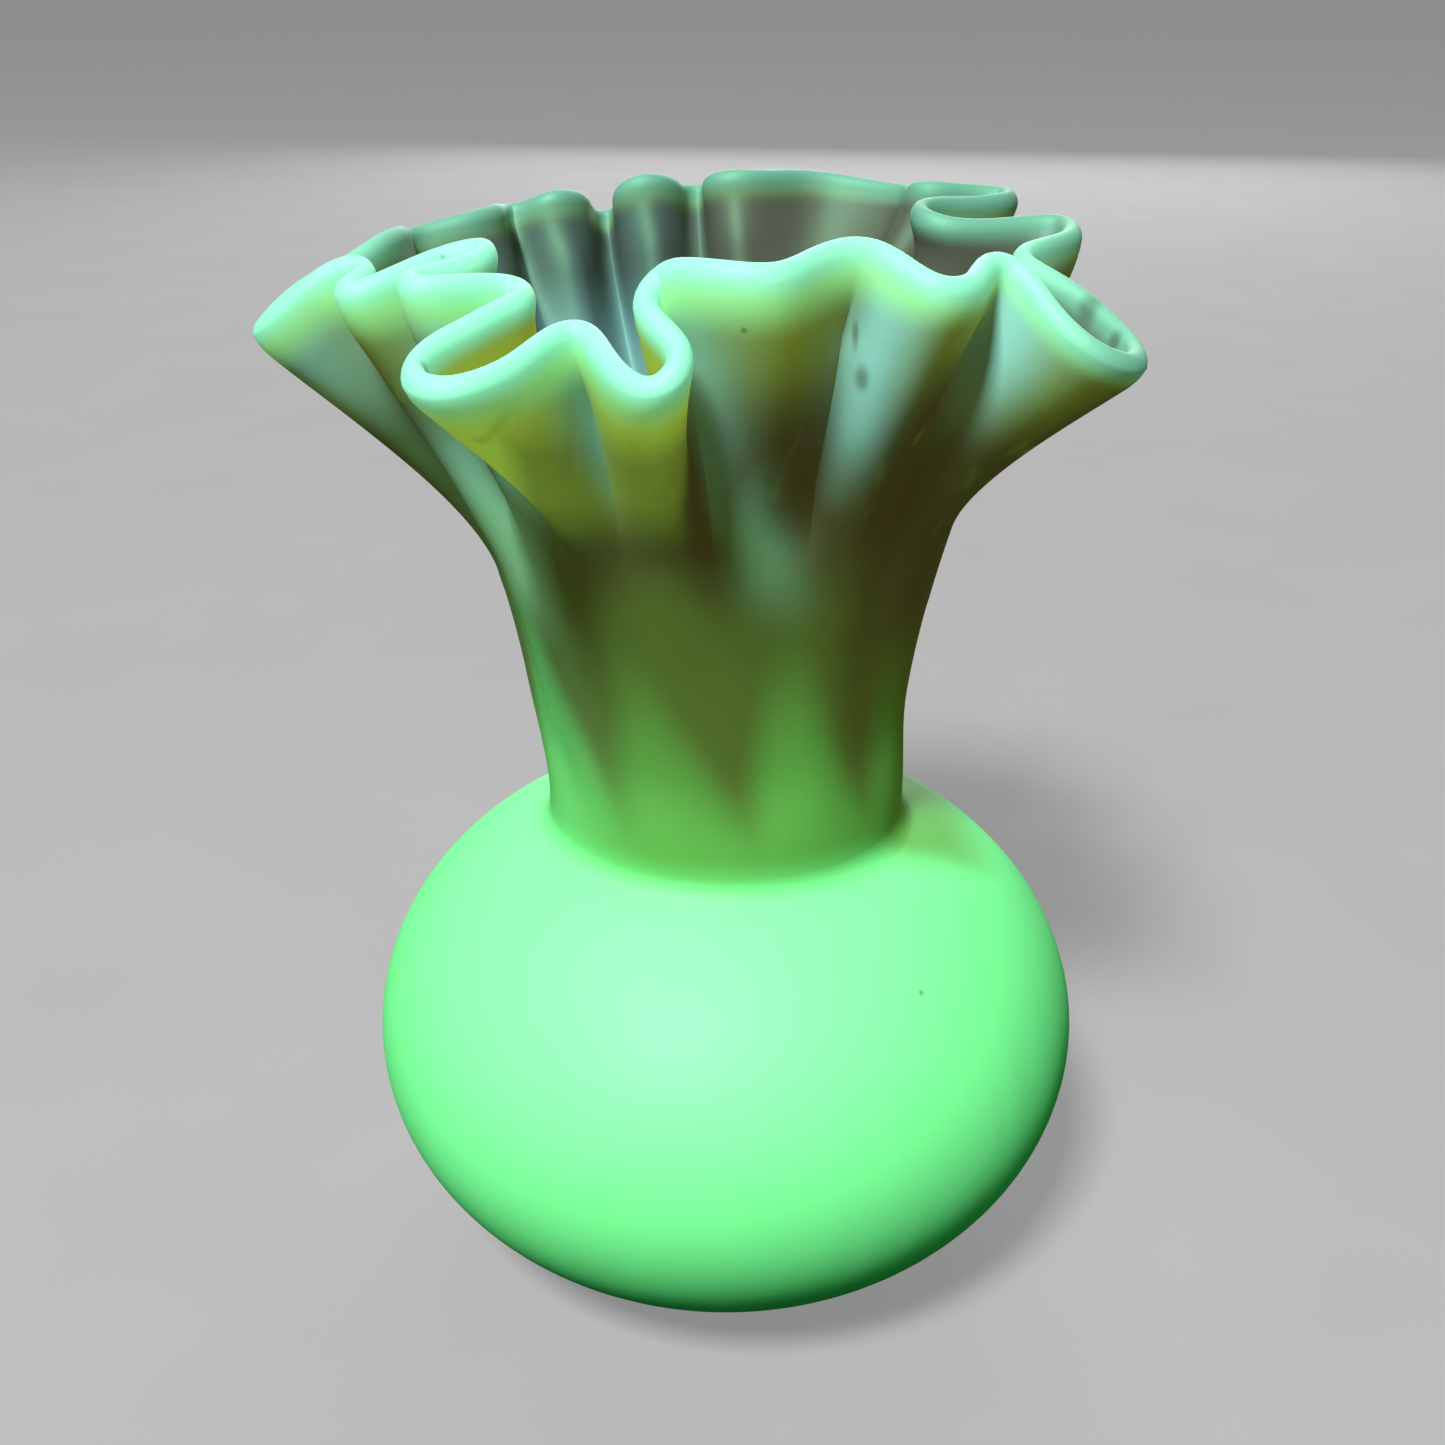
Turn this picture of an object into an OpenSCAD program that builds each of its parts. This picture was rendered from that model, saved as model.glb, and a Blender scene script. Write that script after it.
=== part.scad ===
// Ruffled posy vase in satin art glass: bulb, waisted neck and a crimped, flared rim.
// Millimetres, +Z up. The origin is the centre of the flat ring that the vase rests on.

/* [Bulb] */
// Largest radius of the bulb
bulb_r = 34; // [32:1:36]
// Half height of the bulb's oval section
bulb_half_h = 25.2; // [25:0.1:26]
// Height of the bulb's widest point above the table
bulb_mid_z = 23.8; // [23.4:0.1:24]
// Wall thickness of the bulb
bulb_wall = 2.2; // [1.8:0.1:2.4]
// Height where the bulb's lower zone meets its belly
belly_z = 15; // [13:1:17]
// Height where the bulb's belly meets its shoulder
shoulder_z = 33; // [31:1:35]

/* [Base] */
// Thickness of the glass at the floor of the vase
floor_t = 3; // [2.8:0.1:3.6]
// Height of the base zone, which meets the bulb at a flat ring
base_h = 5; // [4.5:0.5:6]
// Radius of the ground pontil hollow
pontil_r = 6; // [5:0.5:8]
// Depth of the ground pontil hollow
pontil_depth = 0.8; // [0.4:0.1:1.2]

/* [Neck] */
// Outer radius at the waist of the neck
waist_r = 16.6; // [16:0.1:17]
// Height of the waist above the table
waist_z = 48; // [47.5:0.5:49]
// How fast the neck flares above its waist, in millimetres per millimetre squared
neck_flare = 0.0048; // [0.004:0.0002:0.0056]
// Wall thickness of the neck
neck_wall = 2; // [1.8:0.1:2.4]
// Radius of the soft corner between shoulder and neck
shoulder_fillet = 2.5; // [2:0.25:3]

/* [Frill] */
// Height at which the crimped zone begins
frill_z = 70; // [69:0.5:70]
// Height at which the lobes start to swing out
lobe_foot_z = 76.5; // [76.5:0.5:78]
// How much lower the lobes start on the left-hand side
left_drop = 6; // [4:0.5:6]
// Wall thickness at the rim
rim_wall = 1.8; // [1.6:0.1:1.8]
// How late the folds grow on the way up: 1 is even, 2 is late
fold_growth = 1.8; // [1.6:0.1:2]
// Height of the fire-polished band at the edge
lip_h = 1.2; // [1:0.1:1.5]

/* [Hidden] */
$fn = 96;

// Steps along each curve
oval_steps = 24;
fillet_steps = 6;
neck_steps = 8;
per_point = 2;        // wall columns for each rim point
frill_rows = 8;       // bands between the neck and the lip
lip_steps = 4;        // facets round the lip
root_reach = 7;       // rim points on each side that share one root direction
typical_edge_z = 99;  // height that sets where the lip begins, all round
lip_rise = 1.2;       // height below the edge where the lobes have swung all the way out
top_soft = 0.1;       // softness of that last bend, as a share of the swing
left_dir = [cos(190), sin(190), 0];
left_focus = 6;       // how closely the low start keeps to the left-hand side
t_step = 0.01;        // share of the height over which the wall's slope is measured

// The centre line of the ruffled edge, as the corners of a closed smooth curve: [x, y, height].
// Listed from the left-hand lobe, along the front, round the right-hand side and back.
RIM = [
    // left lobe and the small fold beside it
    [-37.5, -7.5, 93.1], [-36, -9.5, 94.4], [-33, -10.5, 96.9], [-31, -11, 98.5], [-28.5, -9.5, 99.2],
    [-27, -12.5, 98.7], [-29, -15, 98.1], [-27.5, -17.5, 98.1],
    // two narrow folds, left of the front
    [-24, -14.5, 99.3], [-21, -12, 100.3], [-17.5, -12.5, 100.9], [-18, -15.5, 100.3], [-20.5, -17.5, 99.9],
    [-23.5, -20.5, 99.7], [-21.5, -23, 99.7], [-18, -20, 99.5], [-15, -18.5, 99.1], [-14, -21.5, 98.7],
    // the long front-left lobe
    [-16, -23.5, 98.3], [-18, -26, 97.5], [-20.5, -28.5, 96.7], [-21.5, -31.5, 95.5], [-19.5, -34, 95.1],
    [-17, -33.5, 95.3], [-14.5, -31, 95.9], [-13, -28, 96.7], [-11.5, -25.5, 97.3], [-9.5, -25.5, 97.3],
    // the front lobe, which curls back over itself
    [-8.5, -28.5, 96.3], [-7, -31.5, 95.3], [-5, -34, 94.9], [-3, -33, 96.3], [-3, -30.5, 97.5],
    [-5, -29, 98.7], [-6, -26.5, 99.9], [-4.5, -25, 101.3],
    // the high, shallow waves right of the front
    [-2.5, -27.5, 101.9], [0.5, -29.5, 101.9], [3.5, -29.5, 101.7], [5.5, -26, 102.1], [8, -23.5, 102.7],
    [11, -23, 102.3], [13, -25, 100.9], [15, -26, 100.1], [17.5, -23, 99.9], [18.5, -18, 100.9],
    [21.5, -18, 100.3],
    // the drooping right-hand lobe
    [23, -21.5, 97.7], [26, -23.5, 95.2], [29, -22, 93.9], [30.5, -18.5, 93.5], [31, -15, 93.6],
    [29.5, -11.5, 95.1], [27, -8, 96.9], [22.5, -5.5, 98.7], [25, -2, 98.9],
    // right-hand side: a round lobe, a deep fold and a narrow lobe
    [29.5, 3.5, 98.7], [30, 9, 99.3], [26.5, 9.5, 99.1], [22, 7.5, 98.9], [18, 6, 99.5], [16, 9, 100.1],
    [18, 12.5, 100.3], [22, 15.5, 99.7], [26.5, 19, 99.7], [27, 23.5, 99.5], [22.5, 23, 99.9],
    [19, 20.5, 100.5], [17.5, 23, 100.1], [18.5, 26.5, 99.3],
    // the back, in broad waves
    [16, 29.5, 99.1], [11, 32, 99.7], [7, 31, 100.3], [4, 28, 100.5], [0.5, 26, 100.9], [-2, 28, 100.1],
    [-1, 31.5, 99.1], [-2.5, 33.5, 98.3], [-5, 32, 98.7], [-5, 29, 99.7], [-7.5, 26, 100.7],
    [-10.5, 27, 99.5], [-10, 30, 97.7], [-11, 32.5, 96.1], [-13.5, 31.5, 96.1], [-14, 28, 98.1],
    [-14, 25, 99.1], [-16.5, 22.5, 99.5], [-18.5, 24, 98.3], [-21, 25, 97.7], [-22, 21.5, 98.3],
    // left of the back
    [-20.5, 18, 98.9], [-23.5, 14.5, 98.5], [-27.5, 14.5, 97.5], [-29.5, 11.5, 97.3], [-27.5, 7, 98.7],
    [-28.5, 2, 99], [-31, -2, 97.4], [-34, -3.5, 96.4], [-36.5, -5, 94.5]
];
rim_count = len(RIM);
columns = rim_count * per_point;

// ---- turned zones ----

inner_r = bulb_r - bulb_wall;
inner_half_h = bulb_half_h - bulb_wall;

// Angle on an oval of half height hh where it reaches height z
function oval_angle(z, hh) = asin((z - bulb_mid_z) / hh);
function oval_point(a, r, hh) = [r * cos(a), bulb_mid_z + hh * sin(a)];
function oval(a0, a1, r, hh) =
    [for (i = [0:oval_steps]) oval_point(a0 + (a1 - a0) * i / oval_steps, r, hh)];

// Outer radius of the neck, which is also the flare that the folds swing about
function neck_r(z) = waist_r + neck_flare * pow(max(0, z - waist_z), 2);
function neck_curve(z0, z1, inset) =
    [for (i = [0:neck_steps]) let (z = z0 + (z1 - z0) * i / neck_steps) [neck_r(z) - inset, z]];

// The shoulder fillet runs from the oval to the upright wall at the neck's foot
fillet_x = waist_r + shoulder_fillet;
fillet_hit = acos(fillet_x / (bulb_r + shoulder_fillet));
neck_z = bulb_mid_z + (bulb_half_h + shoulder_fillet) * sin(fillet_hit);
fillet_start = oval_point(fillet_hit, bulb_r, bulb_half_h) - [fillet_x, neck_z];
fillet_a0 = atan2(fillet_start[1], fillet_start[0]) + 360;
fillet = [for (i = [1:fillet_steps])
    let (a = fillet_a0 + (180 - fillet_a0) * i / fillet_steps)
    [fillet_x + shoulder_fillet * cos(a), neck_z + shoulder_fillet * sin(a)]];

// Where the inside of the bulb meets the inside of the neck
throat_r = waist_r - neck_wall;
throat_angle = acos(throat_r / inner_r);

module turned(points) {
    rotate_extrude() polygon(points);
}

module pontil_base() {
    outer = oval(oval_angle(0, bulb_half_h), oval_angle(base_h, bulb_half_h), bulb_r, bulb_half_h);
    inner = oval(oval_angle(base_h, inner_half_h), oval_angle(floor_t, inner_half_h), inner_r, inner_half_h);
    hollow_r = (pow(pontil_r, 2) + pow(pontil_depth, 2)) / (2 * pontil_depth);
    color("lightgreen") difference() {
        turned(concat([[0, 0]], outer, inner, [[0, floor_t]]));
        translate([0, 0, pontil_depth - hollow_r]) sphere(hollow_r);
    }
}

// A ring of the bulb between two heights
module bulb_ring(z0, z1) {
    outer = oval(oval_angle(z0, bulb_half_h), oval_angle(z1, bulb_half_h), bulb_r, bulb_half_h);
    inner = oval(oval_angle(z1, inner_half_h), oval_angle(z0, inner_half_h), inner_r, inner_half_h);
    turned(concat(outer, inner));
}

module bulb_lower() {
    color("palegreen") bulb_ring(base_h, belly_z);
}

module bulb_belly() {
    color("palegreen") bulb_ring(belly_z, shoulder_z);
}

module bulb_shoulder() {
    outer = oval(oval_angle(shoulder_z, bulb_half_h), fillet_hit, bulb_r, bulb_half_h);
    inner = oval(throat_angle, oval_angle(shoulder_z, inner_half_h), inner_r, inner_half_h);
    color("palegreen") turned(concat(outer, fillet, [[throat_r, neck_z]], inner));
}

module neck() {
    outer = neck_curve(neck_z, frill_z, 0);
    inner = neck_curve(frill_z, neck_z, neck_wall);
    color("olivedrab") turned(concat(outer, inner));
}

// ---- crimped zones ----

function wrap(i, n) = (i % n + n) % n;

// Uniform cubic B-spline through four corners, at u from 0 to 1
function blend(a, b, c, d, u) =
    (a * pow(1 - u, 3) + b * (3 * pow(u, 3) - 6 * u * u + 4)
     + c * (-3 * pow(u, 3) + 3 * u * u + 3 * u + 1) + d * pow(u, 3)) / 6;
function closed_curve(corners) = let (n = len(corners))
    [for (k = [0:columns - 1]) let (i = floor(k / per_point), u = (k % per_point) / per_point)
        blend(corners[wrap(i - 1, n)], corners[i], corners[wrap(i + 1, n)], corners[wrap(i + 2, n)], u)];

function total(list, i = 0) = i == len(list) ? [0, 0, 0] : list[i] + total(list, i + 1);
function flat_unit(p) = [p[0], p[1], 0] / norm([p[0], p[1]]);

edge = closed_curve(RIM);
// Each stretch of the edge hangs from the neck along the mean direction of its neighbours
root = closed_curve([for (i = [0:rim_count - 1])
    flat_unit(total([for (j = [-root_reach:root_reach]) RIM[wrap(i + j, rim_count)]]))]);

// Where column k starts to swing out
function lobe_foot(k) = lobe_foot_z
    - left_drop * pow(max(0, flat_unit(root[wrap(k, columns)]) * left_dir), left_focus);
// x as far as 1, with a soft corner there
function soft_top(x) = x < 1 - top_soft ? x : x > 1 + top_soft ? 1
    : x - pow(x - 1 + top_soft, 2) / (4 * top_soft);
// Swing of a column at height z: 0 on the plain flare and 1 at the ruffled edge
function swing(z, foot, edge_z) =
    soft_top(pow(max(0, (z - foot) / (edge_z - lip_rise - foot)), fold_growth));

// A point of the wall's middle surface: column k, and t from 0 at the neck to 1 at the edge
function wall_mid(k, t) = let (
        top = edge[wrap(k, columns)],
        z = frill_z + (top[2] - frill_z) * t,
        g = swing(z, lobe_foot(k), top[2]),
        flare = flat_unit(root[wrap(k, columns)]) * (neck_r(z) - neck_wall / 2) * (1 - g))
    [flare[0] + top[0] * g, flare[1] + top[1] * g, z];

function unit(v) = v / norm(v);
// Outward normal of the wall; at the neck it is level, so that the two zones meet flat
function wall_out(k, t) = t == 0 ? flat_unit(wall_mid(k, 0))
    : unit(cross(wall_mid(k + 1, t) - wall_mid(k - 1, t), wall_mid(k, t) - wall_mid(k, t - t_step)));
function half_wall(t) = (neck_wall + (rim_wall - neck_wall) * t) / 2;
function wall_skin(k, t, side) = wall_mid(k, t) + wall_out(k, t) * half_wall(t) * side;

// Share of the height, from the neck to the edge, where the lip begins
lip_t = 1 - lip_h / (typical_edge_z - frill_z);

// Faces between closed rings of equal length, ring after ring, and back to the first ring.
// Rings that climb the outside face first; rings that climb the inside first are flipped.
function ring_faces(rings, flipped = false) =
    [for (r = [0:rings - 1], k = [0:columns - 1], half = [0, 1])
        let (k1 = (k + 1) % columns, r1 = (r + 1) % rings,
             a = r * columns + k, b = r * columns + k1, c = r1 * columns + k1, d = r1 * columns + k,
             face = half == 0 ? [a, c, b] : [a, d, c])
        flipped ? [face[0], face[2], face[1]] : face];

function ring(t, side) = [for (k = [0:columns - 1]) wall_skin(k, t, side)];
function join(rings) = [for (r = rings, p = r) p];

module ruffled_frill() {
    outside = [for (i = [0:frill_rows]) ring(lip_t * i / frill_rows, 1)];
    inside = [for (i = [frill_rows:-1:0]) ring(lip_t * i / frill_rows, -1)];
    rings = concat(outside, inside);
    color("darkkhaki") polyhedron(join(rings), ring_faces(len(rings)), convexity = 10);
}

// The lip's section is a half round that grows out of the wall's two skins
function lip_ring(a) = [for (k = [0:columns - 1])
    let (out = wall_out(k, lip_t), foot = wall_mid(k, lip_t), top = wall_mid(k, 1))
    foot + out * half_wall(lip_t) * cos(a) + (top - foot) * sin(a)];

module polished_lip() {
    rings = [for (i = [lip_steps:-1:0]) lip_ring(180 * i / lip_steps)];
    color("aquamarine") polyhedron(join(rings), ring_faces(len(rings), flipped = true), convexity = 10);
}

pontil_base();
bulb_lower();
bulb_belly();
bulb_shoulder();
neck();
ruffled_frill();
polished_lip();
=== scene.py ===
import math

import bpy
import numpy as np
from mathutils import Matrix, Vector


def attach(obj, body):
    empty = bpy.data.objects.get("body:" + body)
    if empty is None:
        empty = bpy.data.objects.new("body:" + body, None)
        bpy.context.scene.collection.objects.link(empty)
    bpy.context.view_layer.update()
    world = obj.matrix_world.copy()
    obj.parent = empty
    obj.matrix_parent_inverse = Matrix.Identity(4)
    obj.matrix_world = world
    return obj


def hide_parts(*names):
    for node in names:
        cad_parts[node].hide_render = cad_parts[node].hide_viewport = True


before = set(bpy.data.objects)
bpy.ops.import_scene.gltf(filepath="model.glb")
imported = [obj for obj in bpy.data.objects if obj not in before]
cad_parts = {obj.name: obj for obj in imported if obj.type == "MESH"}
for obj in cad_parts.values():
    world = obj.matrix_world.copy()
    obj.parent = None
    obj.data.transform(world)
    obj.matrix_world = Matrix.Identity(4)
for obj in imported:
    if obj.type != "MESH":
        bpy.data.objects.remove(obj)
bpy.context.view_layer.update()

# A ruffled posy vase in satin, heat-struck art glass. The skin is computed once, as closed rings of points
# from the middle of the underside, up the outside, over the lip and down the inside to the vase's floor.
# Each visual piece takes its own rings from that skin, so neighbours share points and normals exactly.

MM = 0.001                     # the vase's sizes are in millimetres, and meshes are in metres
TINY = 1e-12                   # keeps a division away from zero

# ---- sizes that repeat the CAD part's ----

BULB_R = 34.0
BULB_HALF_H = 25.2
BULB_MID_Z = 23.8
BULB_WALL = 2.2
FLOOR_T = 3.0
BASE_H = 5.0
PONTIL_R = 6.0
PONTIL_DEPTH = 0.8
WAIST_R = 16.6
WAIST_Z = 48.0
NECK_WALL = 2.0
SHOULDER_FILLET = 2.5
FRILL_Z = 70.0
RIM_WALL = 1.8
LIP_H = 1.2
TYPICAL_EDGE_Z = 99.0
ROOT_REACH = 7                 # corners to each side that a column's direction is averaged over
BELLY_Z = 15.0
SHOULDER_Z = 33.0
NECK_FLARE = 0.0048
LOBE_FOOT_Z = 76.5
LEFT_DROP = 6.0                # how much lower the widest, left-hand lobe starts
LEFT_ANGLE = math.radians(190)
LEFT_DIR = (math.cos(LEFT_ANGLE), math.sin(LEFT_ANGLE), 0)
LEFT_FOCUS = 6
LIP_RISE = 1.2                 # the folds are full this far under the edge
TOP_SOFT = 0.1
FOLD_GROWTH = 1.8

# ---- sizes of the finer shape ----

PER_POINT = 6                  # columns for each corner of the rim
BULB_STEPS = (8, 12, 16, 14)   # base, lower, belly and shoulder
FILLET_STEPS = 8
NECK_STEPS = 16
FRILL_STEPS = 44
LIP_STEPS = 10
PONTIL_STEPS = 6
SLOPE_STEP = 0.004             # of the wall's height, over which its upward slope is taken
LEAN = 0.6                     # how far the neck's axis stands towards -X above the waist
LEAN_Z = (49.0, 60.0)
TRACE_FOOT_Z = 49.0            # where the folds' last traces have died out, down on the neck
TRACE = 0.05                   # their share of the swing where the lobes start
TRACE_POWER = 2.0
FLUTES = 9                     # shallow flutes up the neck
FLUTE_DEPTH = 0.3              # half their depth; the ridges between them lie on the plain neck
FLUTE_START = (50.0, 57.0)     # heights over which they come in
FLUTE_TWIST = math.radians(0.8)  # how far they turn for each millimetre up
FLUTE_TURN_Z = 57.0            # height at which the angles below hold
RIDGE_AZIMUTH = math.radians(-5)     # of one ridge, from the front towards +X
CREASE_DEPTH = 1.7             # of the sharp creases between the lobes
CREASE_COLUMNS = 8.0           # how quickly a crease opens out, in columns
CREASE_APART = 14              # creases are never nearer than this, in columns
CREASE_FOOT = (77.0, 86.0)     # heights over which creases come in
CREASE_TOP = (7.0, 1.5)        # and how far under the edge they go out

# Corners of the ruffled edge's centre line, as in the CAD part: x, y and height
RIM = [
    # left lobe and the small fold beside it
    (-37.5, -7.5, 93.1), (-36, -9.5, 94.4), (-33, -10.5, 96.9), (-31, -11, 98.5), (-28.5, -9.5, 99.2),
    (-27, -12.5, 98.7), (-29, -15, 98.1), (-27.5, -17.5, 98.1),
    # two narrow folds, left of the front
    (-24, -14.5, 99.3), (-21, -12, 100.3), (-17.5, -12.5, 100.9), (-18, -15.5, 100.3), (-20.5, -17.5, 99.9),
    (-23.5, -20.5, 99.7), (-21.5, -23, 99.7), (-18, -20, 99.5), (-15, -18.5, 99.1), (-14, -21.5, 98.7),
    # the long front-left lobe
    (-16, -23.5, 98.3), (-18, -26, 97.5), (-20.5, -28.5, 96.7), (-21.5, -31.5, 95.5), (-19.5, -34, 95.1),
    (-17, -33.5, 95.3), (-14.5, -31, 95.9), (-13, -28, 96.7), (-11.5, -25.5, 97.3), (-9.5, -25.5, 97.3),
    # the front lobe, which curls back over itself
    (-8.5, -28.5, 96.3), (-7, -31.5, 95.3), (-5, -34, 94.9), (-3, -33, 96.3), (-3, -30.5, 97.5),
    (-5, -29, 98.7), (-6, -26.5, 99.9), (-4.5, -25, 101.3),
    # the high, shallow waves right of the front
    (-2.5, -27.5, 101.9), (0.5, -29.5, 101.9), (3.5, -29.5, 101.7), (5.5, -26, 102.1), (8, -23.5, 102.7),
    (11, -23, 102.3), (13, -25, 100.9), (15, -26, 100.1), (17.5, -23, 99.9), (18.5, -18, 100.9),
    (21.5, -18, 100.3),
    # the drooping right-hand lobe
    (23, -21.5, 97.7), (26, -23.5, 95.2), (29, -22, 93.9), (30.5, -18.5, 93.5), (31, -15, 93.6),
    (29.5, -11.5, 95.1), (27, -8, 96.9), (22.5, -5.5, 98.7), (25, -2, 98.9),
    # right-hand side: a round lobe, a deep fold and a narrow lobe
    (29.5, 3.5, 98.7), (30, 9, 99.3), (26.5, 9.5, 99.1), (22, 7.5, 98.9), (18, 6, 99.5), (16, 9, 100.1),
    (18, 12.5, 100.3), (22, 15.5, 99.7), (26.5, 19, 99.7), (27, 23.5, 99.5), (22.5, 23, 99.9),
    (19, 20.5, 100.5), (17.5, 23, 100.1), (18.5, 26.5, 99.3),
    # the back, in broad waves
    (16, 29.5, 99.1), (11, 32, 99.7), (7, 31, 100.3), (4, 28, 100.5), (0.5, 26, 100.9), (-2, 28, 100.1),
    (-1, 31.5, 99.1), (-2.5, 33.5, 98.3), (-5, 32, 98.7), (-5, 29, 99.7), (-7.5, 26, 100.7),
    (-10.5, 27, 99.5), (-10, 30, 97.7), (-11, 32.5, 96.1), (-13.5, 31.5, 96.1), (-14, 28, 98.1),
    (-14, 25, 99.1), (-16.5, 22.5, 99.5), (-18.5, 24, 98.3), (-21, 25, 97.7), (-22, 21.5, 98.3),
    # left of the back
    (-20.5, 18, 98.9), (-23.5, 14.5, 98.5), (-27.5, 14.5, 97.5), (-29.5, 11.5, 97.3), (-27.5, 7, 98.7),
    (-28.5, 2, 99), (-31, -2, 97.4), (-34, -3.5, 96.4), (-36.5, -5, 94.5),
]


# ---- the skin, as rings ----

def closed_curve(corners):
    """Points along the closed uniform cubic B-spline of the corners, PER_POINT to each."""
    before = np.roll(corners, 1, axis=0)
    after = np.roll(corners, -1, axis=0)
    later = np.roll(corners, -2, axis=0)
    u = (np.arange(PER_POINT) / PER_POINT)[None, :, None]
    points = (before[:, None] * (1 - u) ** 3 + corners[:, None] * (3 * u ** 3 - 6 * u ** 2 + 4)
              + after[:, None] * (-3 * u ** 3 + 3 * u ** 2 + 3 * u + 1) + later[:, None] * u ** 3) / 6
    return points.reshape(-1, 3)


def flat_unit(points):
    """Level unit vectors towards the points."""
    level = np.array(points, float)
    level[..., 2] = 0
    return level / np.linalg.norm(level, axis=-1, keepdims=True)


def unit(vectors):
    return vectors / np.maximum(np.linalg.norm(vectors, axis=-1, keepdims=True), TINY)


def smooth(low, high, x):
    """0 below low, 1 above high, and a smooth step between."""
    t = np.clip((x - low) / (high - low), 0, 1)
    return t * t * (3 - 2 * t)


RIM_CORNERS = np.array(RIM, float)
EDGE = closed_curve(RIM_CORNERS)
ROOT = flat_unit(closed_curve(flat_unit(
    sum(np.roll(RIM_CORNERS, step, axis=0) for step in range(-ROOT_REACH, ROOT_REACH + 1)))))
COLUMNS = len(EDGE)
AZIMUTH = np.arctan2(ROOT[:, 0], -ROOT[:, 1])    # of each column, from the front towards +X


def neck_r(z):
    """Outer radius of the neck, which is also the flare that the folds swing about."""
    return WAIST_R + NECK_FLARE * np.maximum(0, z - WAIST_Z) ** 2


def neck_axis(z):
    """Centre of the neck, which leans a little to the left above its waist."""
    return smooth(*LEAN_Z, z)[:, None] * np.array([-LEAN, 0, 0])


def soft_top(x):
    """x as far as 1, with a soft corner there."""
    bend = x - np.maximum(0, x - 1 + TOP_SOFT) ** 2 / (4 * TOP_SOFT)
    return np.where(x > 1 + TOP_SOFT, 1, bend)


LOBE_FOOT = LOBE_FOOT_Z - LEFT_DROP * np.maximum(0, ROOT @ np.array(LEFT_DIR)) ** LEFT_FOCUS


def swing(z):
    """How far each column has swung from the plain flare (0) to the ruffled edge (1), at its height z."""
    rise = (z - LOBE_FOOT) / (EDGE[:, 2] - LIP_RISE - LOBE_FOOT)
    trace = TRACE * np.clip((z - TRACE_FOOT_Z) / (LOBE_FOOT - TRACE_FOOT_Z), 0, 1) ** TRACE_POWER
    return trace + (1 - trace) * soft_top(np.maximum(0, rise) ** FOLD_GROWTH)


def flute_rise(z):
    """How far the neck's flutes cut into the plain flare, for each column at its height z."""
    turned = FLUTES * (AZIMUTH - RIDGE_AZIMUTH + FLUTE_TWIST * (z - FLUTE_TURN_Z))
    return FLUTE_DEPTH * smooth(*FLUTE_START, z) * (np.cos(turned) - 1)


def crease_lines():
    """1 on the columns where the ruffled edge comes in, and less to both sides of them."""
    radius = np.linalg.norm(EDGE[:, :2], axis=1)
    shifts = range(-CREASE_APART, CREASE_APART + 1)
    nearest = radius <= np.min([np.roll(radius, shift) for shift in shifts], axis=0)
    column = np.arange(COLUMNS)
    away = np.abs(column[:, None] - column[nearest][None, :])
    away = np.minimum(away, COLUMNS - away).min(axis=1)
    return np.exp(-away / CREASE_COLUMNS)


CREASE = crease_lines()


def crease_depth(z):
    foot = smooth(*CREASE_FOOT, z)
    top = 1 - smooth(EDGE[:, 2] - CREASE_TOP[0], EDGE[:, 2] - CREASE_TOP[1], z)
    return CREASE_DEPTH * CREASE * foot * top


def level_ring(z, inset):
    """The skin or middle surface at heights z, inset from the outer skin of the plain flare."""
    share = swing(z)[:, None]
    flare = ROOT * (neck_r(z) - inset + flute_rise(z))[:, None]
    points = (neck_axis(z) + flare) * (1 - share) + EDGE * share - ROOT * crease_depth(z)[:, None]
    points[:, 2] = z
    return points


def wall_mid(t):
    """Middle surface of the frill: t is 0 at its foot and 1 at the edge."""
    return level_ring(FRILL_Z + (EDGE[:, 2] - FRILL_Z) * t, NECK_WALL / 2)


def wall_out(t):
    """Outward normals of the middle surface."""
    here = wall_mid(t)
    along = np.roll(here, -1, axis=0) - np.roll(here, 1, axis=0)
    up = wall_mid(t + SLOPE_STEP) - wall_mid(t - SLOPE_STEP)
    return unit(np.cross(along, up))


def half_wall(t):
    return (NECK_WALL + (RIM_WALL - NECK_WALL) * max(0.0, t)) / 2


def wall_ring(t, side):
    return wall_mid(t) + wall_out(t) * half_wall(t) * side


def round_ring(radius, z):
    """A plain circle of the bulb or base, with the columns' own directions."""
    return ROOT * radius + np.array([0, 0, z])


def oval_radius(z, radius, half_h):
    return radius * math.sqrt(max(0.0, 1 - ((z - BULB_MID_Z) / half_h) ** 2))


def oval_angle(z, half_h):
    return math.asin((z - BULB_MID_Z) / half_h)


def oval_rings(a0, a1, radius, half_h, steps):
    """Rings along an oval from angle a0 to a1, first and last included."""
    angles = np.linspace(a0, a1, steps + 1)
    return [round_ring(radius * math.cos(a), BULB_MID_Z + half_h * math.sin(a)) for a in angles]


INNER_R = BULB_R - BULB_WALL
INNER_HALF_H = BULB_HALF_H - BULB_WALL
THROAT_R = WAIST_R - NECK_WALL
FILLET_X = WAIST_R + SHOULDER_FILLET
FILLET_HIT = math.acos(FILLET_X / (BULB_R + SHOULDER_FILLET))
NECK_Z = BULB_MID_Z + (BULB_HALF_H + SHOULDER_FILLET) * math.sin(FILLET_HIT)
LIP_T = 1 - LIP_H / (TYPICAL_EDGE_Z - FRILL_Z)


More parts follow.
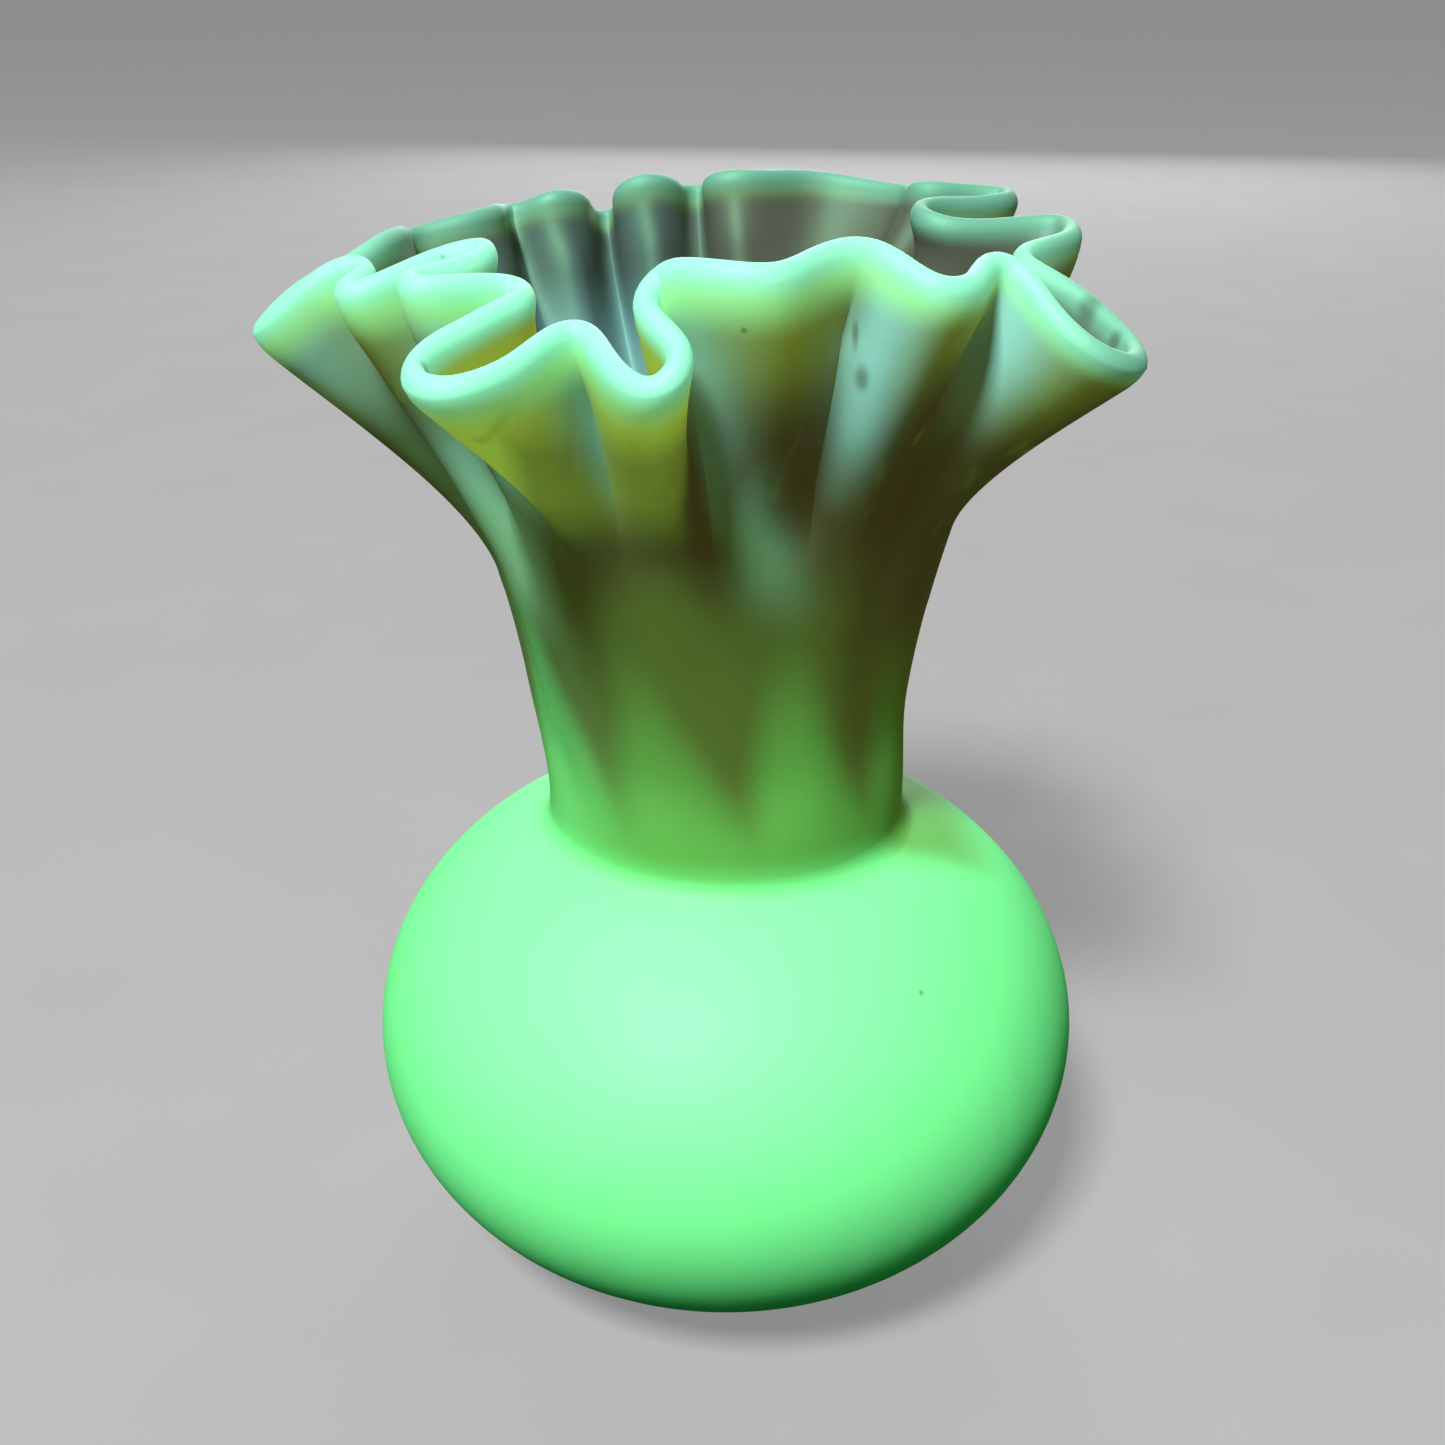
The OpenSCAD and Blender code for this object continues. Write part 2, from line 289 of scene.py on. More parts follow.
def underside_rings():
    """The ground pontil hollow, from its middle to the resting ring."""
    sphere_r = (PONTIL_R ** 2 + PONTIL_DEPTH ** 2) / (2 * PONTIL_DEPTH)
    radii = np.linspace(0, PONTIL_R, PONTIL_STEPS + 1)[1:]
    rings = [round_ring(0, PONTIL_DEPTH)]
    for r in radii:
        rings.append(round_ring(r, PONTIL_DEPTH - sphere_r + math.sqrt(sphere_r ** 2 - r ** 2)))
    return rings


def fillet_rings():
    """The soft corner between shoulder and neck, without its first ring."""
    x = BULB_R * math.cos(FILLET_HIT) - FILLET_X
    z = BULB_MID_Z + BULB_HALF_H * math.sin(FILLET_HIT) - NECK_Z
    start = math.atan2(z, x) + 2 * math.pi
    angles = np.linspace(start, math.pi, FILLET_STEPS + 1)[1:]
    return [round_ring(FILLET_X + SHOULDER_FILLET * math.cos(a), NECK_Z + SHOULDER_FILLET * math.sin(a))
            for a in angles]


def neck_ring(z, side):
    """A level ring of the neck below the frill."""
    mid = level_ring(np.full(COLUMNS, z), NECK_WALL / 2)
    return mid + ROOT * (NECK_WALL / 2) * side


def lip_rings():
    """The lip's half round, from the outer skin over the edge to the inner skin, both feet included."""
    foot = wall_mid(LIP_T)
    top = wall_mid(1.0)
    out = wall_out(LIP_T)
    angles = np.linspace(0, math.pi, LIP_STEPS + 1)
    return [foot + out * half_wall(LIP_T) * math.cos(a) + (top - foot) * math.sin(a) for a in angles]


def build_skin():
    """All rings from the underside to the vase's floor, and where each stretch ends."""
    outer_levels = [oval_angle(z, BULB_HALF_H) for z in (0, BASE_H, BELLY_Z, SHOULDER_Z)] + [FILLET_HIT]
    inner_levels = ([math.acos(THROAT_R / INNER_R)]
                    + [oval_angle(z, INNER_HALF_H) for z in (SHOULDER_Z, BELLY_Z, BASE_H, FLOOR_T)])
    outer = [oval_rings(a0, a1, BULB_R, BULB_HALF_H, steps)[1:]
             for a0, a1, steps in zip(outer_levels, outer_levels[1:], BULB_STEPS)]
    inner = [oval_rings(a0, a1, INNER_R, INNER_HALF_H, steps)[1:]
             for a0, a1, steps in zip(inner_levels, inner_levels[1:], BULB_STEPS[::-1])]
    neck_z = np.linspace(NECK_Z, FRILL_Z, NECK_STEPS + 1)
    frill_t = np.linspace(0, LIP_T, FRILL_STEPS + 1)
    rest_ring = round_ring(oval_radius(0, BULB_R, BULB_HALF_H), 0)
    throat = round_ring(THROAT_R, BULB_MID_Z + INNER_HALF_H * math.sin(inner_levels[0]))
    stretches = [
        ("base_out", underside_rings() + [rest_ring] + outer[0]),
        ("lower_out", outer[1]),
        ("belly_out", outer[2]),
        ("shoulder_out", outer[3] + fillet_rings()),
        ("neck_out", [neck_ring(z, 1) for z in neck_z[1:-1]] + [wall_ring(0, 1)]),
        ("frill_out", [wall_ring(t, 1) for t in frill_t[1:]]),
        ("lip", lip_rings()[1:]),
        ("frill_in", [wall_ring(t, -1) for t in frill_t[::-1][1:]]),
        ("neck_in", [neck_ring(z, -1) for z in neck_z[::-1][1:]]),
        ("shoulder_in", [throat] + inner[0]),
        ("belly_in", inner[1]),
        ("lower_in", inner[2]),
        ("base_in", inner[3] + [round_ring(0, FLOOR_T)]),
    ]
    rings = []
    ends = {}
    for name, stretch in stretches:
        rings += stretch
        ends[name] = len(rings) - 1
    return np.array(rings), ends


def skin_normals(rings):
    """Smooth outward normals of the whole skin."""
    along = np.roll(rings, -1, axis=1) - np.roll(rings, 1, axis=1)
    up = np.gradient(rings, axis=0)
    normals = unit(np.cross(along, up))
    normals[0] = (0, 0, -1)
    normals[-1] = (0, 0, 1)
    return normals


SKIN, END = build_skin()
END["start"] = 0
NORMALS = skin_normals(SKIN)
POLES = (0, len(SKIN) - 1)     # the rings of radius 0, under and in the vase
LIP_TOP = (END["frill_out"] + END["lip"] + 1) // 2


# ---- pieces cut from the skin ----

def strip_faces(index, closed_loop):
    """Faces between successive rings; the last ring joins the first where closed_loop is true."""
    faces = []
    count = len(index) if closed_loop else len(index) - 1
    for r in range(count):
        low = index[r]
        high = index[(r + 1) % len(index)]
        for k in range(COLUMNS):
            k1 = (k + 1) % COLUMNS
            corners = (low[k], low[k1], high[k1], high[k])
            faces.append(tuple(dict.fromkeys(corners)))
    return faces


def make_piece(name, picked, closed_loop):
    """A closed piece from the picked rings of the skin. A ring of radius 0 becomes one point."""
    index = np.arange(len(picked) * COLUMNS).reshape(-1, COLUMNS)
    for row, ring in enumerate(picked):
        if ring in POLES:
            index[row] = index[row, 0]
    used, packed = np.unique(index, return_inverse=True)
    packed = packed.reshape(index.shape).tolist()
    mesh = bpy.data.meshes.new(name)
    points = SKIN[picked].reshape(-1, 3)[used] * MM
    mesh.from_pydata(points.tolist(), [], strip_faces(packed, closed_loop))
    for attribute, values in FACTS.items():
        set_attribute(mesh, attribute, values[picked].reshape(-1)[used])
    mesh.shade_smooth()
    mesh.normals_split_custom_set_from_vertices(NORMALS[picked].reshape(-1, 3)[used].tolist())
    piece = bpy.data.objects.new(name, mesh)
    bpy.context.scene.collection.objects.link(piece)
    return piece


def set_attribute(mesh, name, values):
    attribute = mesh.attributes.new(name, "FLOAT", "POINT")
    attribute.data.foreach_set("value", np.asarray(values, np.float32))


# ---- facts about the skin that the glass needs ----

# Where the colours run: places and half widths are in degrees from the front towards +X, heights in
# millimetres
COLOUR_TWIST = 0.7             # how far the colours turn for each millimetre up
TWIST_Z = 57.0                 # the height at which the tongues' places hold
TWIST_END = 83.0               # and the height from which the streaks' places hold
TONGUE_PLACE = -16.0           # of one green tongue on the neck, green glass with painted light between the frill's shadows; there is one to each flute
GREEN_TOP = 52.8               # height of the green between the tongues
TONGUE_CLIMB = 8.0             # of a tongue, above the green between them
TONGUE_POWER = 0.8             # below 1, the tongues are wider than the gaps between them
GREEN_SOFT = 5.5               # how softly the green ends between the tongues
TONGUE_SOFT = 6.0              # and how much more softly on them
RIGHT_PLACE = 22.0             # of the tongue that climbs further on the right
RIGHT_HALF = 10.0
RIGHT_CLIMB = 3.0
FLANK_PLACE = -62.0            # of the greener left flank
FLANK_HALF = 22.0
FLANK_CLIMB = 6.0
STREAK_TURN = COLOUR_TWIST * (TWIST_END - TWIST_Z)
STREAK_SOFT = 5.0
TO_LIP = 120                   # a top well above the rim: the streak runs on to the lip
# Pale streaks of the frill, both paler glass and painted light: place and half width, then the heights of
# foot and top
PALE_LIT_STREAKS = (
    (-160, 9, 82, TO_LIP),
    (-128, 10, 80, TO_LIP),
    (-98, 8, 84, TO_LIP),
    (-80, 8, 87, TO_LIP),
    (-62, 9, 71, 85),
    (-54, 6, 77, TO_LIP),
    (-42, 5, 79, TO_LIP),
    (-22, 2.4, 84, TO_LIP),
    (7, 7.5, 75, 84),
    (0, 4.8, 80, TO_LIP),
    (24, 7, 85, TO_LIP),
    (46, 5.5, 89, TO_LIP),
    (80, 9, 80, TO_LIP),
    (112, 9, 83, TO_LIP),
    (146, 8, 78, TO_LIP),
    (176, 7, 84, TO_LIP),
)
# Brown streaks between them, both brown glass and painted shade, written the same way
BROWN_SHADED_STREAKS = (
    (-140, 6, 70, 95),
    (-112, 6, 72, 94),
    (-67, 5, 85, 95),
    (-6, 4, 77, 90),
    (15, 6, 79, 89),
    (44, 15, 67, 83),
    (36, 5, 79, 94),
    (59, 6, 79, 92),
    (96, 7, 72, 93),
    (130, 7, 70, 95),
    (162, 6, 74, 93),
)
LOBES_PLACE = -21.0            # of the two front lobes, painted with the most light passing through them
LOBES_HALF = 13.0
LOBES_SOFT = 3.5
LOBES_FOOT = 81.5
FOLD_REACH = 5 * PER_POINT     # columns to each side that a fold's mean radius is taken over
HALF_TURN = 180                # degrees


def distance_from_lip():
    """Millimetres along the wall from the top of the lip, for each point of the skin."""
    steps = np.linalg.norm(np.diff(SKIN, axis=0), axis=2)
    way = np.vstack([np.zeros(COLUMNS), np.cumsum(steps, axis=0)])
    return np.abs(way - way[LIP_TOP])


def inside_share():
    """0 on the outside, 1 on the inside, turning over across the lip."""
    share = smooth(END["frill_out"], END["lip"], np.arange(len(SKIN)))
    return np.repeat(share[:, None], COLUMNS, axis=1)


def fold_height():
    """How far each point stands out (+) or in (-) from the skin's mean radius near it, in millimetres."""
    radius = np.linalg.norm(SKIN[..., :2], axis=2)
    near = range(-FOLD_REACH, FOLD_REACH + 1)
    return radius - sum(np.roll(radius, step, axis=1) for step in near) / len(near)


AZIMUTH_DEG = np.degrees(AZIMUTH)


def away(azimuth, place):
    """Degrees from a place round the vase, the short way."""
    return np.abs((azimuth - place + HALF_TURN) % (2 * HALF_TURN) - HALF_TURN)


def bell(azimuth, place, half):
    """1 at a place, falling off to both sides."""
    return np.exp(-(away(azimuth, place) / half) ** 2)


def turned_back(z):
    """Azimuth at TWIST_Z of the streak through each point. Above TWIST_END the streaks run straight up."""
    return AZIMUTH_DEG + COLOUR_TWIST * (np.minimum(z, TWIST_END) - TWIST_Z)


def green_share():
    """1 where the bulb's green has climbed up the neck, in tongues and furthest on the left; the tongues
    also carry painted light that falls between the frill's shadows.
    """
    z = SKIN[..., 2]
    tongue = ((1 + np.cos(np.radians(FLUTES * (turned_back(z) - TONGUE_PLACE)))) / 2) ** TONGUE_POWER
    left = FLANK_CLIMB * bell(AZIMUTH_DEG, FLANK_PLACE, FLANK_HALF)
    right = RIGHT_CLIMB * bell(AZIMUTH_DEG, RIGHT_PLACE, RIGHT_HALF)
    middle = GREEN_TOP + TONGUE_CLIMB * tongue + left + right
    soft = GREEN_SOFT + TONGUE_SOFT * tongue
    return 1 - smooth(middle - soft, middle + soft, z)


def flank_share():
    """1 on the left flank of the neck and frill, which take greener colours."""
    return np.repeat(bell(AZIMUTH_DEG, FLANK_PLACE, FLANK_HALF)[None, :], len(SKIN), axis=0)


def streak_share(streaks):
    """1 along the streaks of the frill."""
    z = SKIN[..., 2]
    share = np.zeros(z.shape)
    for place, half, foot, top in streaks:
        rise = smooth(foot - STREAK_SOFT, foot + STREAK_SOFT, z)
        fall = smooth(top - STREAK_SOFT, top + STREAK_SOFT, z)
        share = np.maximum(share, bell(turned_back(z) - STREAK_TURN, place, half) * rise * (1 - fall))
    return share


def lobe_share():
    """1 on the two front lobes, which take painted light."""
    z = SKIN[..., 2]
    from_middle = away(AZIMUTH_DEG, LOBES_PLACE)
    across = 1 - smooth(LOBES_HALF - LOBES_SOFT, LOBES_HALF + LOBES_SOFT, from_middle)
    return across * smooth(LOBES_FOOT - LOBES_SOFT, LOBES_FOOT + LOBES_SOFT, z)


FACTS = {
    "lip_mm": distance_from_lip(),
    "inside": inside_share(),
    "fold_mm": fold_height(),
    "green": green_share(),
    "flank": flank_share(),
    "pale": streak_share(PALE_LIT_STREAKS),
    "brown_shaded": streak_share(BROWN_SHADED_STREAKS),
    "lobe": lobe_share(),
}


def rings_of(outer_from, outer_to, inner_from, inner_to):
    """Ring numbers of one piece, from its spans of the skin. The lip has only the one span."""
    outer = np.arange(END[outer_from], END[outer_to] + 1)
    if inner_from == inner_to:
        return outer
    return np.concatenate([outer, np.arange(END[inner_from], END[inner_to] + 1)])


# Each piece: where its outer and inner spans start and end, its CAD node and its material slot
PIECES = {
    "glass_base": (("start", "base_out", "lower_in", "base_in"), "pontil_base", "satin_green_glass"),
    "glass_lower_bulb": (("base_out", "lower_out", "belly_in", "lower_in"),
                         "bulb_lower", "satin_green_glass"),
    "glass_belly": (("lower_out", "belly_out", "shoulder_in", "belly_in"),
                    "bulb_belly", "satin_green_glass"),
    "glass_shoulder": (("belly_out", "shoulder_out", "neck_in", "shoulder_in"),
                       "bulb_shoulder", "satin_green_glass"),
    "glass_neck": (("shoulder_out", "neck_out", "frill_in", "neck_in"), "neck", "struck_glass"),
    "glass_frill": (("neck_out", "frill_out", "lip", "frill_in"), "ruffled_frill", "struck_glass"),
    "glass_lip": (("frill_out", "lip", "lip", "lip"), "polished_lip", "lip_glass"),
}


# ---- glass ----

MIX_SHARE, MIX_A, MIX_B = 0, 6, 7    # the Mix node's inputs for colours
MIX_COLOUR = 2                       # and its output


class Shader:
    """One material, with its node tree built in short calls."""

    def __init__(self, name):
        self.material = bpy.data.materials.new(name)
        self.material.use_nodes = True
        self.tree = self.material.node_tree
        self.surface = self.tree.nodes["Principled BSDF"]

    def node(self, kind, settings=(), **inputs):
        made = self.tree.nodes.new(kind)
        for name, value in dict(settings).items():
            setattr(made, name, value)
        for name, value in inputs.items():
            self.feed(made.inputs[name.replace("_", " ")], value)
        return made

    def feed(self, socket, value):
        if isinstance(value, bpy.types.NodeSocket):
            self.tree.links.new(value, socket)
        elif isinstance(value, tuple) and len(value) == 3 and socket.type == "RGBA":
            socket.default_value = (*value, 1)
        else:
            socket.default_value = value

    def math(self, operation, *values):
        made = self.node("ShaderNodeMath", {"operation": operation})
        for socket, value in zip(made.inputs, values):
            self.feed(socket, value)
        return made.outputs[0]

    def vector(self, operation, value, other=(0.0, 0.0, 0.0)):
        """The outputs of a vector sum."""
        made = self.node("ShaderNodeVectorMath", {"operation": operation}, Vector=value)
        made.inputs[1].default_value = other
        return made.outputs

    def fade(self, x, low, high, start=0.0, end=1.0):
        """A smooth step from start at low to end at high."""
        made = self.node("ShaderNodeMapRange", {"interpolation_type": "SMOOTHSTEP"},
                         Value=x, From_Min=low, From_Max=high, To_Min=start, To_Max=end)
        return made.outputs["Result"]

    def mix(self, share, a, b):
        """Colour a where the share is 0, and colour b where it is 1."""
        made = self.node("ShaderNodeMix", {"data_type": "RGBA"})
        self.feed(made.inputs[MIX_SHARE], share)
        self.feed(made.inputs[MIX_A], a)
        self.feed(made.inputs[MIX_B], b)
        return made.outputs[MIX_COLOUR]

    def mix_pair(self, share, a, b):
        """The same mix of base colours and of glows: a and b are (base colour, glow)."""
        return tuple(self.mix(share, one, other) for one, other in zip(a, b))

    def fact(self, name):
        """One of FACTS, as the mesh carries it."""
        return self.node("ShaderNodeAttribute", {"attribute_name": name}).outputs["Fac"]

    def noise(self, where, scale, detail=2.0):
        made = self.node("ShaderNodeTexNoise", Vector=where, Scale=scale, Detail=detail)
        return made.outputs["Fac"]


# Colours as linear light. Each pair is (base colour, glow); the glow is painted light, which makes the
# glass shine from within and keeps its shaded folds coloured.
BRIGHT = ((0.128, 0.62, 0.205), (0.003, 0.10, 0.010))          # the bulb
BULB_LOW_SHADED = ((0.030, 0.44, 0.100), (0.000, 0.035, 0.005))       # painted shade on the bulb, near the table
FLANK_GREEN = ((0.105, 0.46, 0.120), (0.010, 0.050, 0.006))    # the foot of the neck, on the left flank
FOOT = ((0.060, 0.255, 0.042), (0.026, 0.055, 0.002))          # the foot of the neck and its tongues, green glass with painted light
OLIVE = ((0.030, 0.065, 0.006), (0.034, 0.036, 0.003))         # the neck
BROWN_AND_SHADE = ((0.022, 0.018, 0.002), (0.029, 0.022, 0.004))         # the frill and the brown streaks: brown glass, partly painted shade
FLANK_UPPER = ((0.044, 0.125, 0.040), (0.022, 0.030, 0.004))          # the left flank above the green
PALE_LIT_LOW = ((0.125, 0.330, 0.190), (0.034, 0.055, 0.008))      # the feet of the pale streaks, paler glass and painted light
PALE_LIT = ((0.148, 0.380, 0.335), (0.036, 0.055, 0.020))          # the pale streaks, paler glass and painted light
EDGE_LIT = ((0.060, 0.135, 0.022), (0.110, 0.145, 0.008))      # painted light on the outside, under the lip
LOBE_GLOW_DEEP = ((0.040, 0.100, 0.022), (0.105, 0.140, 0.012))     # painted light in the front lobes
LOBE_GLOW = ((0.070, 0.160, 0.045), (0.215, 0.320, 0.026))          # painted light in the front lobes, where it is brightest
CORD = ((0.070, 0.150, 0.040), (0.070, 0.100, 0.008))          # thin lines in the frill
LIP = ((0.125, 0.36, 0.240), (0.135, 0.47, 0.280))             # the polished lip, with a painted glow
LIP_FAR_SHADED = ((0.072, 0.200, 0.150), (0.022, 0.066, 0.032))       # painted shade: the lip on the far side
LIP_SIDE = ((0.126, 0.40, 0.155), (0.150, 0.355, 0.100))       # beside the lip, with a painted glow
LIP_SIDE_SHADED = ((0.085, 0.170, 0.050), (0.066, 0.120, 0.014))   # painted shade: beside the lip, inside and on the far side
LOBE_INSIDE_GLOW = ((0.090, 0.150, 0.020), (0.190, 0.240, 0.018))   # painted light on the inside of the front folds
INNER = ((0.028, 0.048, 0.050), (0.008, 0.006, 0.003))         # the lining's top
INNER_DEEP = ((0.062, 0.140, 0.155), (0.016, 0.018, 0.014))    # the lining below it
MAUVE = ((0.042, 0.042, 0.036), (0.014, 0.008, 0.004))         # the lining on the right
VIOLET = ((0.105, 0.085, 0.165), (0.010, 0.006, 0.016))        # the lining's cups
WELL_DIM = ((0.050, 0.22, 0.060), (0.004, 0.030, 0.005))       # the inside of the bulb
WELL_LIT = ((0.080, 0.36, 0.110), (0.010, 0.095, 0.016))       # and the painted light on its floor
DIRT = (0.022, 0.018, 0.012)                                   # the marks, both as base colour and as glow

# Where one look passes into another: a fade from low to high, then its values there if they aren't 0 and 1.
# A name ends in what the fade follows: X, Y or Z of the point, MM of way from the lip's top, or a share.
BULB_TOP_Z = (44.0, 49.5)                # the bulb's green ends, under the neck
# Painted shadow of the neck on the right shoulder:
NECK_SHADOW_X = (6.0, 18.0)                    # on the right, and further back than the front,
NECK_SHADOW_Y = (-12.0, -3.0, 0.0, 5.0)        # the neck's colour reaches this far down onto the shoulder
BULB_SHADED_Z = (4.0, 22.0, 1.0, 0.0)       # painted shade: the bulb darker near the table
BROWN_Z = (76.0, 84.0)                   # olive turns brown, partly as painted shade under the frill
BROWN_WANDER = 8.0
PALE_Z = (78.0, 88.0)                    # the pale streaks turn bluer
LIT_EDGE_MM = (3.0, 15.0, 1.0, 0.0)      # painted light that passes the wall, under the lip
LIT_EDGE_FAR = (0.0, 1.0, 1.0, 0.4)      # there is less of it on the far side
LOBE_EDGE_MM = (4.0, 11.0, 1.0, 0.0)     # the painted light of the front lobes is brightest under the lip
LOBE_EDGE_X = (-16.5, -13.5, 1.0, 0.0)   # and on the left one
CORD_NOISE = (0.60, 0.74, 0.0, 0.35)     # thin, lighter lines in the frill
CORD_Z = (74.0, 84.0)
FAR_SHADE_Y = (-14.0, 10.0)                    # painted shade on the far side of the rim
FAR_SHADE_X = (20.0, 29.0, 0.0, 0.8)           # and its right-hand end, which is nearly as dim
LINING_Z = (30.0, 50.0)                  # the lining starts above the bulb
LINING_DEEP_Z = (84.0, 93.0, 1.0, 0.0)
MAUVE_X = (2.0, 16.0)
MAUVE_WANDER = 20.0
VIOLET_FOLD = (2.0, 5.0)                 # in the folds that stand out this many millimetres
VIOLET_MM = (9.0, 16.0, 0.8, 0.0)
CUP_Y = (-19.0, -13.0, 1.0, 0.0)         # painted light on the insides of the front and left-hand folds
CUP_X = (0.0, 8.0, 1.0, 0.0)
CUP_MM = (4.0, 16.0, 1.0, 0.0)
WELL_Z = (26.0, 42.0, 1.0, 0.0)          # the inside of the bulb
WELL_FLOOR_Z = (3.0, 6.0, 1.6, 0.6)      # and the painted light on its floor
BESIDE_MM = (2.2, 6.0, 1.0, 0.0)         # yellower glass beside the lip, with a painted glow
BESIDE_INSIDE = 2.0                      # it is this much narrower on the inside
NARROW_X = (8.0, 22.0, 1.0, 1.6)         # and narrower on the right
LIP_MM = (1.0, 3.2, 1.0, 0.0)            # the polished lip itself

# How far the soft edges of the painted facts wander with the streaks
GREEN_RAGGED = 1.6
PALE_RAGGED = 3.0
LOBE_RAGGED = 1.6
BROWN_RAGGED = 2.0

# Noises, in repeats for each metre
STREAK_SCALE = (90.0, 90.0, 16.0)
CORD_SCALE = (330.0, 330.0, 10.0)
CORD_DETAIL = 1.0
CLOUD_SCALE = 70.0
GRAIN_SCALE = 2600.0
NOISE_MIDDLE = 0.5

# The satin skin
SHEEN_TINT = (0.38, 1.0, 0.52)
GLASS_IOR = 1.7
ROUGHNESS_CLOUDS = (0.3, 0.7, 0.62, 0.70)
GRAIN_RELIEF = 0.03
RELIEF_STRENGTH = 0.35
RELIEF_DEPTH = 0.6 * MM

# Small marks in the glass: place in millimetres, radius, and height over width
MARKS = (
    ((9.6, -23.3, 92.6), 0.45, 1.8),      # a smudge right of the front
    ((9.0, -23.6, 95.6), 0.22, 5.0),      # a hair scratch above it
    ((1.1, -29.5, 97.4), 0.20, 1.0),      # a speck under the front of the lip
    ((-21.3, -13.4, 99.4), 0.20, 1.0),    # a speck on the left fold's lip
    ((16.7, -21.3, 39.1), 0.25, 1.0),     # a speck on the shoulder
    ((28.0, -10.8, 95.0), 0.8, 1.6),      # dark spots in the right-hand lobe's cup
    ((29.4, -14.2, 93.2), 0.6, 1.4),
    ((-20.4, -31.0, 94.8), 0.5, 1.5),     # a pit inside the long front-left lobe
)
MARK_RADII = (0.3, 1.8)        # a mark fades out between these shares of its radius
MARK_DEPTH = 0.6


class SatinGlass(Shader):
    """Satin, heat-struck glass. Its colour runs on from zone to zone, so all pieces take the same tree."""

    def __init__(self, name):
        super().__init__(name)
        self.where = self.node("ShaderNodeTexCoord").outputs["Object"]
        scaled = self.node("ShaderNodeVectorMath", {"operation": "SCALE"}, Vector=self.where, Scale=1 / MM)
        self.place = scaled.outputs[0]
        self.x, self.y, self.z = self.node("ShaderNodeSeparateXYZ", Vector=self.place).outputs
        self.streaks = self.drawn_out(STREAK_SCALE)
        self.clouds = self.noise(self.where, CLOUD_SCALE)
        self.lip_mm = self.fact("lip_mm")
        self.inside = self.fact("inside")
        self.flank = self.fact("flank")
        # Painted shade: the far side of the rim and its right-hand end are dimmer.
        far_right_shaded = self.fade(self.x, *FAR_SHADE_X)
        self.far = self.math("MAXIMUM", self.fade(self.y, *FAR_SHADE_Y), far_right_shaded)

    def drawn_out(self, scale, detail=2.0):
        """Noise that is drawn out up the vase."""
        stretched = self.node("ShaderNodeMapping", Vector=self.where, Scale=scale).outputs[0]
        return self.noise(stretched, 1.0, detail)

    def ragged(self, name, depth):
        """A painted fact whose soft edges wander with the streaks."""
        share = self.fact(name)
        edge = self.math("MULTIPLY", share, self.math("SUBTRACT", 1.0, share))
        wander = self.math("MULTIPLY", self.math("SUBTRACT", self.streaks, NOISE_MIDDLE), depth)
        return self.math("MULTIPLY_ADD", edge, wander, share)

    def lobe_glow_colours(self):
        """The painted light in the two front lobes, brightest under the lip and on the left one."""
        under_lip = self.fade(self.lip_mm, *LOBE_EDGE_MM)
        lobe_edge = self.math("MAXIMUM", under_lip, self.fade(self.x, *LOBE_EDGE_X))
        return self.mix_pair(lobe_edge, LOBE_GLOW_DEEP, LOBE_GLOW)

    def frill_colours(self):
        """The outside of neck and frill, above the bulb's green."""
        # Brown glass above the neck, partly painted shade under the frill.
        brown_shaded = self.fade(self.math("MULTIPLY_ADD", self.streaks, BROWN_WANDER, self.z), *BROWN_Z)
        under_lip = self.fade(self.lip_mm, *LIT_EDGE_MM)
        lit_edge = self.math("MULTIPLY", under_lip, self.fade(self.far, *LIT_EDGE_FAR))
        lines = self.fade(self.drawn_out(CORD_SCALE, CORD_DETAIL), *CORD_NOISE)
        cord = self.math("MULTIPLY", lines, self.fade(self.z, *CORD_Z))
        body = self.mix_pair(brown_shaded, OLIVE, BROWN_AND_SHADE)
        body = self.mix_pair(self.flank, body, FLANK_UPPER)
        body = self.mix_pair(lit_edge, body, EDGE_LIT)
        body = self.mix_pair(self.ragged("lobe", LOBE_RAGGED), body, self.lobe_glow_colours())
        pale = self.mix_pair(self.fade(self.z, *PALE_Z), PALE_LIT_LOW, PALE_LIT)
        # Pale streaks: paler glass, and painted light on the folds.
        body = self.mix_pair(self.ragged("pale", PALE_RAGGED), body, pale)
        # Brown streaks: brown glass and painted shade on the shaded folds.
        body = self.mix_pair(self.ragged("brown_shaded", BROWN_RAGGED), body, BROWN_AND_SHADE)
        return self.mix_pair(cord, body, CORD)

    def outside_colours(self):
        """The frill's colours, with the green that climbs the neck and the bulb's own green, painted darker
        near the table, and the neck's painted shadow on the right shoulder.
        """
        foot = self.mix_pair(self.flank, FOOT, FLANK_GREEN)
        body = self.mix_pair(self.ragged("green", GREEN_RAGGED), self.frill_colours(), foot)
        # Painted shadow of the neck, cast on the right shoulder.
        neck_shadow = self.math("MULTIPLY", self.fade(self.x, *NECK_SHADOW_X), self.fade(self.y, *NECK_SHADOW_Y))
        above_bulb = self.fade(self.math("ADD", self.z, neck_shadow), *BULB_TOP_Z)
        # Painted shade: the bulb darker near the table.
        bulb = self.mix_pair(self.fade(self.z, *BULB_SHADED_Z), BRIGHT, BULB_LOW_SHADED)
        return self.mix_pair(above_bulb, bulb, body)

